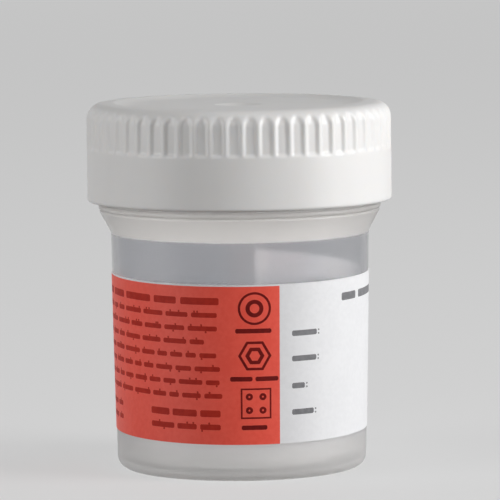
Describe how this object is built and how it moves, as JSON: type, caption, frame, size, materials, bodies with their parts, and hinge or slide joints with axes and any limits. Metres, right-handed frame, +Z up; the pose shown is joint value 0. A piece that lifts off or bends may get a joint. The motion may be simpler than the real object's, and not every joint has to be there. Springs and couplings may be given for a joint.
{
  "type": "formalin specimen container",
  "caption": "Straight-sided translucent specimen cup with a flared collar, a fluted white screw cap, a foam liner, a wrapped label and a half fill of clear fluid.",
  "frame": {"origin": "centre of the foot, on the surface that the container stands on", "axes": "+Z up the axis of the cup and cap; -Y is the front, with the label's colour border 17 degrees towards +X from it; +X is to the right of someone who faces the front"},
  "size_m": [0.0615, 0.0614, 0.074],
  "materials": {
    "cup_plastic": "translucent moulded polypropylene, slightly hazy",
    "cap_plastic": "satin white moulded polypropylene",
    "liner_foam": "smooth-skinned polyethylene foam",
    "label_paper": "coated label paper, orange-red and white panels",
    "fixative": "clear colourless fluid"
  },
  "bodies": {
    "cup": {"cup": "cup_plastic", "label": "label_paper", "formalin": "fixative"},
    "liner": {"cap_liner": "liner_foam"},
    "cap": {"screw_cap": "cap_plastic"}
  },
  "joints": [
    {"name": "cap_rise", "type": "slide", "parent": "cup", "child": "liner", "axis": [0, 0, 1], "range_m": [0, 0.024]},
    {"name": "cap_turn", "type": "hinge", "parent": "liner", "child": "cap", "pos_m": [0, 0, 0.064], "axis": [0, 0, 1], "range_deg": [0, 1080]}
  ],
  "couplings": [
    {"joint": "cap_rise", "follows": "cap_turn", "m_per_rad": 0.001273}
  ]
}
